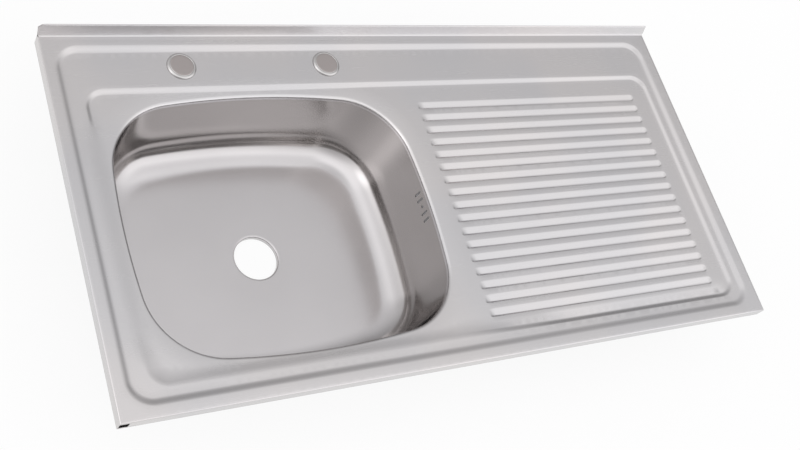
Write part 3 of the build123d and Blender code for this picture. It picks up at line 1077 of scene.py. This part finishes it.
# %% Make the pressed top
pressed_top = mesh_object("pressed_top", top.points, top.faces)
run_tree(
    pressed_top,
    repeat_along_line(),
    **{
        "Groove": one_groove,
        "Count": groove_count,
        "First": (0.0, groove_first_y * MM, 0.0),
        "Step": (0.0, -groove_pitch * MM, 0.0),
        "Weld distance": WELD_DISTANCE * MM,
        "Finish": satin_steel,
    },
)
bpy.data.objects.remove(one_groove)
print("top before its thickness:", len(pressed_top.data.polygons), "faces")
thicken(pressed_top, sheet)
print("pressed top:", len(pressed_top.data.polygons), "faces, open:", open_edges(pressed_top))
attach(pressed_top, "sink")
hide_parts("sink_top")

# %% [markdown]
# ## The drawn bowl
#
# The bowl is one skin of rings: down the wall, round the large floor radius, across the floor
# and over a small roll into the waste collar. The rings change from the mouth's outline to a
# circle on the way. The overflow slots go through the wall on the right, so a patch of the
# wall is left out of the rings and filled with triangles round the slots.

# %% Rings of the bowl
waste_bore, waste_roll = 31.0, 2.5
floor_fall, roll_margin = 0.6, 1.5
floor_shares = (0.03, 0.12, 0.25, 0.4, 0.55, 0.7, 0.85, 1.0)
lower_wall_z, LOWER_WALL_PARTS, ROLL_STEPS = -30, 5, 6
lower_wall = foot_z - lower_wall_z
wall_levels = [weld_z, 1.5, -5.5, -12.5, -19.5, lower_wall_z]
for part in range(1, LOWER_WALL_PARTS):
    wall_levels.append(lower_wall_z + lower_wall * part / LOWER_WALL_PARTS)
PATCH_ROWS = (1, 4)
PATCH_COLUMNS = (-3, 4)

bowl_rings = [bowl_ring(wall_inset(z), z) for z in wall_levels]
bowl_rings += [bowl_ring(inset, z) for inset, z in floor_section]
floor_edge = [(x, y) for x, y, _ in bowl_rings[-1]]


def waste_ring(radius, z):
    """A ring round the waste hole, with its points in line with the floor's edge."""
    ring = []
    for x, y in floor_edge:
        arm = Vector((x - bowl_x, y - bowl_y)).normalized() * radius
        ring.append((bowl_x + arm.x, bowl_y + arm.y, z))
    return ring


roll_start = waste_bore + waste_roll
inner_ring = waste_ring(roll_start + roll_margin, floor_z - floor_fall)
for share in floor_shares:
    bowl_rings.append(
        [
            (x + (in_x - x) * share, y + (in_y - y) * share, floor_z - floor_fall * share)
            for (x, y), (in_x, in_y, _) in zip(floor_edge, inner_ring)
        ]
    )
for step in range(ROLL_STEPS + 1):
    turn = math.pi / 2 * step / ROLL_STEPS
    bowl_rings.append(
        waste_ring(
            roll_start - waste_roll * math.sin(turn),
            floor_z - floor_fall - waste_roll * (1 - math.cos(turn)),
        )
    )
bowl_rings.append(waste_ring(waste_bore, bowl_low.z))
ring_count = len(bowl_rings[0])
patch_steps = {step % ring_count for step in range(*PATCH_COLUMNS)}
bowl_skin = Surface()
bowl_skin.add_rows(
    bowl_rings,
    closed=True,
    skip=lambda row, step: PATCH_ROWS[0] <= row < PATCH_ROWS[1] and step in patch_steps,
)
print("bowl:", len(bowl_rings), "rings of", ring_count)

# %% The patch of wall with the overflow slots
slot_width, slot_height, slot_pitch, screw_hole = 3.2, 15.5, 9.8, 4.5
overflow_drop = 18.7
overflow_y, overflow_z = 6.0, rim_z - overflow_drop - slot_height / 2


def on_wall(y, z):
    """The point of the right wall at a distance from its middle and a height."""
    _, _, short_centre, short_radius, _ = side_circles(wall_inset(z))
    return bowl_x + short_centre.x + math.sqrt(short_radius**2 - y**2), bowl_y + y, z


def upright_slot(middle_y, middle_z, width, height, end_steps=8):
    """A slot with round ends above and below."""
    radius, reach = width / 2, (height - width) / 2
    turns = [math.pi * step / end_steps for step in range(end_steps + 1)]
    points = [on_circle((middle_y, middle_z + reach), radius, turn) for turn in turns]
    return points + [(2 * middle_y - y, 2 * middle_z - z) for y, z in points]


def wall_plan(row, column):
    """A ring's point on the wall laid flat: its distance from the middle, and its height."""
    _, y, z = bowl_rings[row][column % ring_count]
    return y - bowl_y, z


first_row, final_row = PATCH_ROWS
first_column, final_column = PATCH_COLUMNS
patch_edge = [wall_plan(first_row, column) for column in range(first_column, final_column)]
patch_edge += [wall_plan(row, final_column) for row in range(first_row, final_row)]
patch_edge += [wall_plan(final_row, column) for column in range(final_column, first_column, -1)]
patch_edge += [wall_plan(row, first_column) for row in range(final_row, first_row, -1)]
slots = [
    upright_slot(overflow_y + side * number * slot_pitch, overflow_z, slot_width, slot_height)
    for side in (-1, 1)
    for number in (1, 2)
]
slots.append(circle(overflow_y, overflow_z, screw_hole / 2, steps=20))
print("outline of the patch:", len(patch_edge), "points, round", len(slots), "openings")

# %% Fill the patch
FILL_COLUMNS, FILL_ROWS = 24, 10
between_columns, between_rows, patch_gap = 2.6, 2.1, 1.0
left_y, right_y = patch_edge[0][0], patch_edge[final_column - first_column][0]
inner_points = []
for column in range(FILL_COLUMNS):
    for row in range(FILL_ROWS):
        y = left_y + between_columns * (column + 0.5)
        z = wall_levels[first_row] - between_rows * (row + 0.5)
        if y < right_y and not any(inside_loop(y, z, slot) for slot in slots):
            inner_points.append((y, z))
slot_points = [point for slot in slots for point in slot]
inner_points = clear_of(inner_points, patch_edge + slot_points, patch_gap)
patch_plan, patch_triangles = triangulate([patch_edge, *slots], [], inner_points)
bowl_skin.add_faces([on_wall(y, z) for y, z in patch_plan], patch_triangles)
print("overflow patch:", len(patch_triangles), "triangles")

# %% [markdown]
# ## Drawn steel, and the edges of the slots
#
# Drawing polishes the bowl's wall, while its floor keeps a satin finish, so the bowl's steel
# changes with height: the wall is smoother, and its colour is darkened as painted shade. The
# punched edges of the overflow slots are raw metal, and their colour is darkened far below
# steel as painted shade inside the openings. They get a finish of their own.

# %% Drawn steel
floor_roughness, wall_roughness = 0.24, 0.11
drawn_steel = steel(
    "drawn_steel",
    (0.575, 0.56, 0.565),
    (0.56, 0.545, 0.55),
    wall_roughness,
    spread_by=0.05,
    bump=0.01,
    cloud_scale=9.0,
)


def vary_with_height(material, low_z, high_z, low_roughness, high_roughness, high_painted_shade):
    """Blends a steel from its own finish at one height to a smoother one above it, whose colour is
    darkened there as painted shade.
    """
    tree = material.node_tree
    group = next(node for node in tree.nodes if node.type == "GROUP")
    shader = tree.nodes["Principled BSDF"]
    place = add_node(tree, "ShaderNodeTexCoord")
    parts = add_node(tree, "ShaderNodeSeparateXYZ", {0: place.outputs["Object"]})
    span = {"Value": parts.outputs["Z"], "From Min": low_z * MM, "From Max": high_z * MM}
    share = add_node(tree, "ShaderNodeMapRange", span, interpolation_type="SMOOTHSTEP")
    span |= {"To Min": low_roughness, "To Max": high_roughness}
    rough = add_node(tree, "ShaderNodeMapRange", span)
    tree.links.new(rough.outputs[0], group.inputs["Roughness"])
    # painted shade: above the blend, the colour is multiplied by a darker tone
    tint = add_node(
        tree,
        "ShaderNodeMix",
        {0: share.outputs[0], 6: (1, 1, 1, 1), 7: (*high_painted_shade, 1)},
        data_type="RGBA",
    )
    toned = add_node(
        tree,
        "ShaderNodeVectorMath",
        {0: group.outputs["Colour"], 1: tint.outputs[2]},
        operation="MULTIPLY",
    )
    tree.links.new(toned.outputs[0], shader.inputs["Base Color"])


# painted shade on the bowl's wall: its colour is darkened above the floor's radius
wall_painted_shade = (0.77, 0.755, 0.73)
polish_from, polish_to = floor_z - 5, floor_z + 35
vary_with_height(
    drawn_steel, polish_from, polish_to, floor_roughness, wall_roughness, wall_painted_shade
)
print("roughness of floor and wall:", floor_roughness, wall_roughness)

# %% The bowl
drawn_bowl = mesh_object("drawn_bowl", bowl_skin.points, bowl_skin.faces)
weld(drawn_bowl)
print("bowl before its thickness:", len(drawn_bowl.data.polygons), "faces")
thicken(drawn_bowl, sheet)
drawn_bowl.data.materials.append(drawn_steel)
print("bowl:", len(drawn_bowl.data.polygons), "faces, open:", open_edges(drawn_bowl))

# %% Cut edges of the slots
# raw cut metal, darkened far below steel as painted shade inside the overflow slots
slot_edge_painted_shade = steel(
    "slot_edge_painted_shade", (0.13, 0.12, 0.115), (0.10, 0.095, 0.09), 0.55, spread_by=0.1, bump=0.2
)
drawn_bowl.data.materials.append(slot_edge_painted_shade)
cut_reach_y, cut_reach_z, wall_facing = 24, 9, 0.5
cut_faces = 0
for face in drawn_bowl.data.polygons:
    away_y, away_z = face.center.y / MM - bowl_y - overflow_y, face.center.z / MM - overflow_z
    near_slots = abs(away_y) < cut_reach_y and abs(away_z) < cut_reach_z
    at_slots = face.center.x / MM > bowl_x and near_slots
    if at_slots and abs(face.normal.x) < wall_facing:
        face.material_index = 1
        cut_faces += 1
print("cut edges of the overflow slots:", cut_faces, "faces")
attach(drawn_bowl, "sink")
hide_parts("bowl")

# %% [markdown]
# ## Tap-hole plugs
#
# Until taps are fitted, a plug closes each hole: a pressed cap, a rubber washer and a plastic
# core with a spring clip. The cap shows. It is round, so a section and a full turn make it:
# a satin disc, a fine groove round it and a polished bevel.

# %% Turned pieces
def turned(name, section, centre_x, centre_y, base_z, steps=96):
    """A closed section of radius and height, turned about an upright axis."""
    rows = []
    for step in range(steps):
        turn = 2 * math.pi * step / steps
        circles = [on_circle((centre_x, centre_y), radius, turn) for radius, _ in section]
        rows.append([(x, y, base_z + z) for (x, y), (_, z) in zip(circles, section)])
    made = Surface()
    made.add_rows([row + row[:1] for row in rows + rows[:1]])
    piece = mesh_object(name, made.points, made.faces)
    close_skin(piece)
    shade(piece, sharp_angle=40.0)
    return piece


cap_radius, cap_height, cap_bevel, bevel_drop = 19.75, 3.0, 3.6, 2.3
cap_gap, cap_wall, inner_rise, inner_drop = 0.3, 0.6, 0.9, 1.0
disc_radius = cap_radius - cap_bevel
BEVEL_STEPS = 8
# the groove round the disc: how far out from the disc's edge, how far below its top
disc_groove = [(-3, 0), (-0.9, 0.02), (-0.5, 0.1), (-0.25, 0.28), (0, 0.3)]
disc_groove += [(0.2, 0.12), (0.5, 0.06)]
bevel_out, bevel_down = disc_groove[-1]
cap_section = [(0, cap_height)]
cap_section += [(disc_radius + out, cap_height - down) for out, down in disc_groove]
for step in range(1, BEVEL_STEPS + 1):
    turn = math.pi / 2 * step / BEVEL_STEPS
    radius = disc_radius + bevel_out + (cap_bevel - bevel_out) * math.sin(turn)
    cap_section.append((radius, cap_height - bevel_down - bevel_drop * (1 - math.cos(turn))))
cap_inside = cap_radius - cap_wall
cap_section += [(cap_radius, cap_gap), (cap_inside, cap_gap), (cap_inside, inner_rise)]
cap_section += [(disc_radius, cap_height - inner_drop), (0, cap_height - cap_wall)]
print("cap section:", len(cap_section), "points")

# %% Plug caps
plug_face_steel = steel(
    "plug_face_steel", (0.45, 0.41, 0.40), (0.43, 0.395, 0.385), 0.3, spread_by=0.06, bump=0.03
)
bevel_steel = steel(
    "bevel_steel", (0.56, 0.55, 0.54), (0.54, 0.53, 0.525), 0.07, spread_by=0.03, bump=0.01
)
bevel_start = disc_radius - 0.4
for side, hole_x in tap_hole_xs.items():
    button = turned(f"{side}_plug_button", cap_section, hole_x, tap_hole_y, ledge_z)
    button.data.materials.append(plug_face_steel)
    button.data.materials.append(bevel_steel)
    for face in button.data.polygons:
        reach = math.dist(face.center[:2], (hole_x * MM, tap_hole_y * MM)) / MM
        face.material_index = 1 if reach > bevel_start else 0
    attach(button, f"{side}_tap_plug")
    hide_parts(f"{side}_plug_cap")
    print(button.name, len(button.data.polygons), "faces at x", round(hole_x, 1))

# %% [markdown]
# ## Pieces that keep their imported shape
#
# The stiffeners, corner brackets, earth tag, and the plugs' cores and clips are right as
# packed. They only get a finish.

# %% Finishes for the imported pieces
galvanised = steel(
    "galvanised",
    (0.56, 0.58, 0.60),
    (0.46, 0.48, 0.50),
    0.42,
    spread_by=0.2,
    bump=0.1,
    cloud_scale=60.0,
    grain_scale=300.0,
)
clip_steel = steel(
    "clip_steel",
    (0.40, 0.40, 0.41),
    (0.33, 0.32, 0.33),
    0.3,
    spread_by=0.1,
    bump=0.05,
    cloud_scale=40.0,
)


def plain_finish(name, colour, other_colour, roughness, grain_scale, bump):
    """A material that isn't metal, with fine grain and slow colour change."""
    material = steel(
        name,
        colour,
        other_colour,
        roughness,
        spread_by=0.1,
        bump=bump,
        cloud_scale=30.0,
        grain_scale=grain_scale,
    )
    material.node_tree.nodes["Principled BSDF"].inputs["Metallic"].default_value = 0.0
    return material


core_plastic = plain_finish(
    "core_plastic", (0.72, 0.72, 0.69), (0.68, 0.68, 0.66), 0.45, grain_scale=800.0, bump=0.05
)

finishes = {
    "stiffener": galvanised,
    "bracket": galvanised,
    "earth_tag": galvanised,
    "clip": clip_steel,
    "core": core_plastic,
}
for node_name, node_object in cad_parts.items():
    for ending, finish in finishes.items():
        if node_name.endswith(ending):
            for place in node_object.material_slots:
                place.material = finish
            print(node_name, "->", finish.name)

# %% [markdown]
# ## Rubber washers and the damping sheet
#
# Two kinds of piece are soft. A moulded rubber washer lies under each plug's cap: its edges are
# round, and three low ridges below it press on the deck. A heavy sheet stuck under the bowl's
# floor keeps running water quiet. It was rolled on, so its free face is slightly wavy and its
# edge is soft, and it leaves room round the waste hole.

# %% The washers
seal_rubber = plain_finish(
    "seal_rubber", (0.03, 0.03, 0.032), (0.045, 0.044, 0.043), 0.6, grain_scale=1500.0, bump=0.2
)
washer_overlap, washer_edge = 3.5, 0.3
ridge_height, ridge_count = 0.15, 3


def washer_section(inner, outer, thickness):
    """A section with round edges and ridges below, as radius and height."""
    round_edged = Outline(inner, outer, 0, thickness, washer_edge)
    section = []
    for radius, z in round_edged.ring(0, arc_steps=4, spacing=0.45):
        share = (radius - inner) / (outer - inner)
        hollow = ridge_height * math.sin(math.pi * ridge_count * share) ** 2
        section.append((radius, z + hollow if z < thickness / 2 else z))
    return section


for side, hole_x in tap_hole_xs.items():
    node_name = f"{side}_plug_seal"
    seal_low, seal_high = (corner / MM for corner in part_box(node_name))
    section = washer_section(
        tap_hole / 2 - washer_overlap, (seal_high.x - seal_low.x) / 2, seal_high.z - seal_low.z
    )
    washer = turned(f"{side}_plug_washer", section, hole_x, tap_hole_y, seal_low.z)
    washer.data.materials.append(seal_rubber)
    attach(washer, f"{side}_tap_plug")
    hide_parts(node_name)
    print(washer.name, len(washer.data.polygons), "faces")

# %% The damping sheet
damping_finish = plain_finish(
    "damping_finish", (0.06, 0.06, 0.065), (0.085, 0.085, 0.09), 0.75, grain_scale=500.0, bump=0.5
)
pad_low, pad_high = (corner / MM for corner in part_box("bowl_damping_pad"))
pad_corner, pad_hole, pad_edge = 25.0, 92.0, 1.2
wave_height, wave_margin = 0.12, 14
wave_x, wave_y, wave_across = 17, 23, 41
EDGE_STEPS, PAD_COLUMNS, PAD_ROWS, pad_gap = 5, 26, 18, 3.0
pad_outline = Outline(pad_low.x, pad_high.x, pad_low.y, pad_high.y, pad_corner)


def pad_hole_ring(growth):
    """The edge of the hole that leaves room round the waste, grown by a distance."""
    return circle(bowl_x, bowl_y, pad_hole / 2 + growth)


def pad_face_z(x, y):
    """The wavy free face, level at the sheet's edges."""
    to_edge = min(pad_outline.depth(x, y), math.dist((x, y), (bowl_x, bowl_y)) - pad_hole / 2)
    waves = 2 + math.sin(x / wave_x) * math.cos(y / wave_y) + math.sin((x + 2 * y) / wave_across)
    return pad_low.z + wave_height * waves * ramp(to_edge, pad_edge, wave_margin)


pad_skin = Surface()
edge_section = [(0, pad_high.z), (0, pad_low.z + pad_edge)]
for step in range(1, EDGE_STEPS + 1):
    turn = math.pi / 2 * step / EDGE_STEPS
    round_z = pad_low.z + pad_edge * (1 - math.sin(turn))
    edge_section.append((pad_edge * (1 - math.cos(turn)), round_z))
for ring_at in (pad_outline.ring, pad_hole_ring):
    edge_rows = [[(x, y, z) for x, y in ring_at(inset)] for inset, z in edge_section]
    pad_skin.add_rows(edge_rows, closed=True)
for inset, level in ((0, lambda x, y: pad_high.z), (pad_edge, pad_face_z)):
    outer_edge, hole_edge = pad_outline.ring(inset), pad_hole_ring(inset)
    inner_points = []
    for column in range(PAD_COLUMNS):
        for row in range(PAD_ROWS):
            x = pad_low.x + (pad_high.x - pad_low.x) * (column + 0.5) / PAD_COLUMNS
            y = pad_low.y + (pad_high.y - pad_low.y) * (row + 0.5) / PAD_ROWS
            if inside_loop(x, y, outer_edge) and not inside_loop(x, y, hole_edge):
                inner_points.append((x, y))
    inner_points = clear_of(inner_points, outer_edge + hole_edge, pad_gap)
    pad_plan, pad_triangles = triangulate([outer_edge, hole_edge], [], inner_points)
    pad_skin.add_faces([(x, y, level(x, y)) for x, y in pad_plan], pad_triangles)

damping_sheet = mesh_object("damping_sheet", pad_skin.points, pad_skin.faces)
close_skin(damping_sheet)
shade(damping_sheet)
damping_sheet.data.materials.append(damping_finish)
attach(damping_sheet, "sink")
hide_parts("bowl_damping_pad")
sheet_faces = len(damping_sheet.data.polygons)
print("damping sheet:", sheet_faces, "faces, open:", open_edges(damping_sheet))

# %% [markdown]
# ## Floor and light
#
# Metal shows what is round it, so the light is the larger half of its finish. The room is a
# plain one: brightest at the front and overhead, and ever dimmer towards the back. A few
# broad soft patches are brighter or dimmer than that, and give the steps and the bowl their
# bands. All of it is the world's colour by direction, the same for every ray.
#
# The floor is nearly white wherever a camera, a reflection or a ray through glass meets it,
# and plain matt paint for all other light, so it lights the sink no more than paint would.
# An eighth of the paint stays under the white, which keeps the sink's shadow. Under the
# drainboard a soft oval is bare paint, and so the overflow slots look dark.

# %% Floor
floor_level = cad_low.z
floor_reach = 12.0
floor_corners = ((-1, -1), (1, -1), (1, 1), (-1, 1))
floor_points = [(x * floor_reach, y * floor_reach, floor_level) for x, y in floor_corners]
floor_mesh = bpy.data.meshes.new("floor")
floor_mesh.from_pydata(floor_points, [], [(0, 1, 2, 3)])
floor = bpy.data.objects.new("floor", floor_mesh)
bpy.context.scene.collection.objects.link(floor)
print("floor at", round(floor_level / MM, 1), "mm")

# %% Floor paint
oval_middle, oval_reach = (0.28, 0.05), (0.38, 0.24)
oval_core, white_outside = 0.7, 0.88
floor_paint = bpy.data.materials.new("floor_paint")
floor_paint.use_nodes = True
paint = floor_paint.node_tree
paint.nodes.clear()
rays = add_node(paint, "ShaderNodeLightPath")
seen_or_mirrored = add_node(
    paint,
    "ShaderNodeMath",
    {0: rays.outputs["Is Camera Ray"], 1: rays.outputs["Is Glossy Ray"]},
    operation="ADD",
)
seen = add_node(
    paint,
    "ShaderNodeMath",
    {0: seen_or_mirrored.outputs[0], 1: rays.outputs["Is Transmission Ray"]},
    operation="ADD",
)
spot = add_node(paint, "ShaderNodeTexCoord")
from_middle = add_node(
    paint,
    "ShaderNodeMapping",
    {
        "Vector": spot.outputs["Object"],
        "Location": (*oval_middle, floor_level),
        "Scale": (*oval_reach, 1.0),
    },
    vector_type="TEXTURE",
)
from_oval = add_node(
    paint, "ShaderNodeVectorMath", {0: from_middle.outputs[0]}, operation="LENGTH"
)
open_share = add_node(
    paint,
    "ShaderNodeMapRange",
    {
        "Value": from_oval.outputs["Value"],
        "From Min": oval_core,
        "From Max": 1.0,
        "To Max": white_outside,
    },
    interpolation_type="SMOOTHSTEP",
)
white_share = add_node(
    paint,
    "ShaderNodeMath",
    {0: seen.outputs[0], 1: open_share.outputs[0]},
    operation="MULTIPLY",
    use_clamp=True,
)
matt = add_node(paint, "ShaderNodeBsdfDiffuse", {"Color": (0.85, 0.85, 0.85, 1)})
white = add_node(paint, "ShaderNodeEmission", {"Color": (1, 1, 1, 1), "Strength": 1.0})
mixed = add_node(paint, "ShaderNodeMixShader", {0: white_share.outputs[0]})
paint.links.new(matt.outputs[0], mixed.inputs[1])
paint.links.new(white.outputs[0], mixed.inputs[2])
paint_out = paint.nodes.new("ShaderNodeOutputMaterial")
paint.links.new(mixed.outputs[0], paint_out.inputs[0])
floor_mesh.materials.append(floor_paint)

# %% Room light by direction
bright_side = Vector((-0.35, -0.90, 0.25)).normalized()
room_strength = 1.6
room_tint = (1.0, 0.993, 1.003)
# light by how far a direction agrees with the bright side, from opposite to the same
room_levels = [
    (-1.0, 0.25),
    (-0.8, 0.40),
    (-0.6, 0.55),
    (-0.4, 0.77),
    (-0.2, 0.90),
    (-0.05, 1.25),
    (0.2, 1.50),
    (0.6, 1.50),
    (1.0, 1.20),
]
# patches: towards where, what part of the light is kept there, and how wide in degrees
room_patches = [
    ((0.1, 0.0, 1.0), 0.6, 18),
    ((0.45, -0.3, 0.85), 0.75, 20),
    ((-0.7, 0.4, 0.6), 0.8, 26),
    ((0.7, 0.6, 0.4), 1.2, 22),
    ((0.9, 0.35, 0.2), 0.4, 24),
    ((-0.85, -0.05, 0.5), 1.5, 20),
    ((-0.3, -0.95, 0.15), 0.55, 45),
]
world = bpy.data.worlds.new("room")
bpy.context.scene.world = world
world.use_nodes = True
room = world.node_tree
background = room.nodes["Background"]
direction = add_node(room, "ShaderNodeTexCoord")
along = add_node(
    room,
    "ShaderNodeVectorMath",
    {0: direction.outputs["Generated"], 1: bright_side},
    operation="DOT_PRODUCT",
)
share = add_node(
    room, "ShaderNodeMapRange", {"Value": along.outputs["Value"], "From Min": -1.0, "From Max": 1.0}
)
levels = add_node(room, "ShaderNodeValToRGB", {"Fac": share.outputs[0]})
levels.color_ramp.interpolation = "LINEAR"
while len(levels.color_ramp.elements) < len(room_levels):
    levels.color_ramp.elements.new(0.5)
for element, (place, _) in zip(levels.color_ramp.elements, room_levels):
    element.position = (place + 1) / 2
for element, (_, level) in zip(levels.color_ramp.elements, room_levels):
    element.color = (*[level * part / room_strength for part in room_tint], 1)
light = levels.outputs[0]
for towards, kept, reach_degrees in room_patches:
    nearness = add_node(
        room,
        "ShaderNodeVectorMath",
        {0: direction.outputs["Generated"], 1: Vector(towards).normalized()},
        operation="DOT_PRODUCT",
    )
    inside = add_node(
        room,
        "ShaderNodeMapRange",
        {
            "Value": nearness.outputs["Value"],
            "From Min": math.cos(math.radians(reach_degrees)),
            "From Max": 1.0,
            "To Min": 1.0,
            "To Max": kept,
        },
    )
    changed = add_node(
        room, "ShaderNodeVectorMath", {0: light, "Scale": inside.outputs[0]}, operation="SCALE"
    )
    light = changed.outputs[0]
room.links.new(light, background.inputs["Color"])
background.inputs["Strength"].default_value = room_strength
print("room: bright towards", [round(part, 2) for part in bright_side])
print("patches:", len(room_patches))
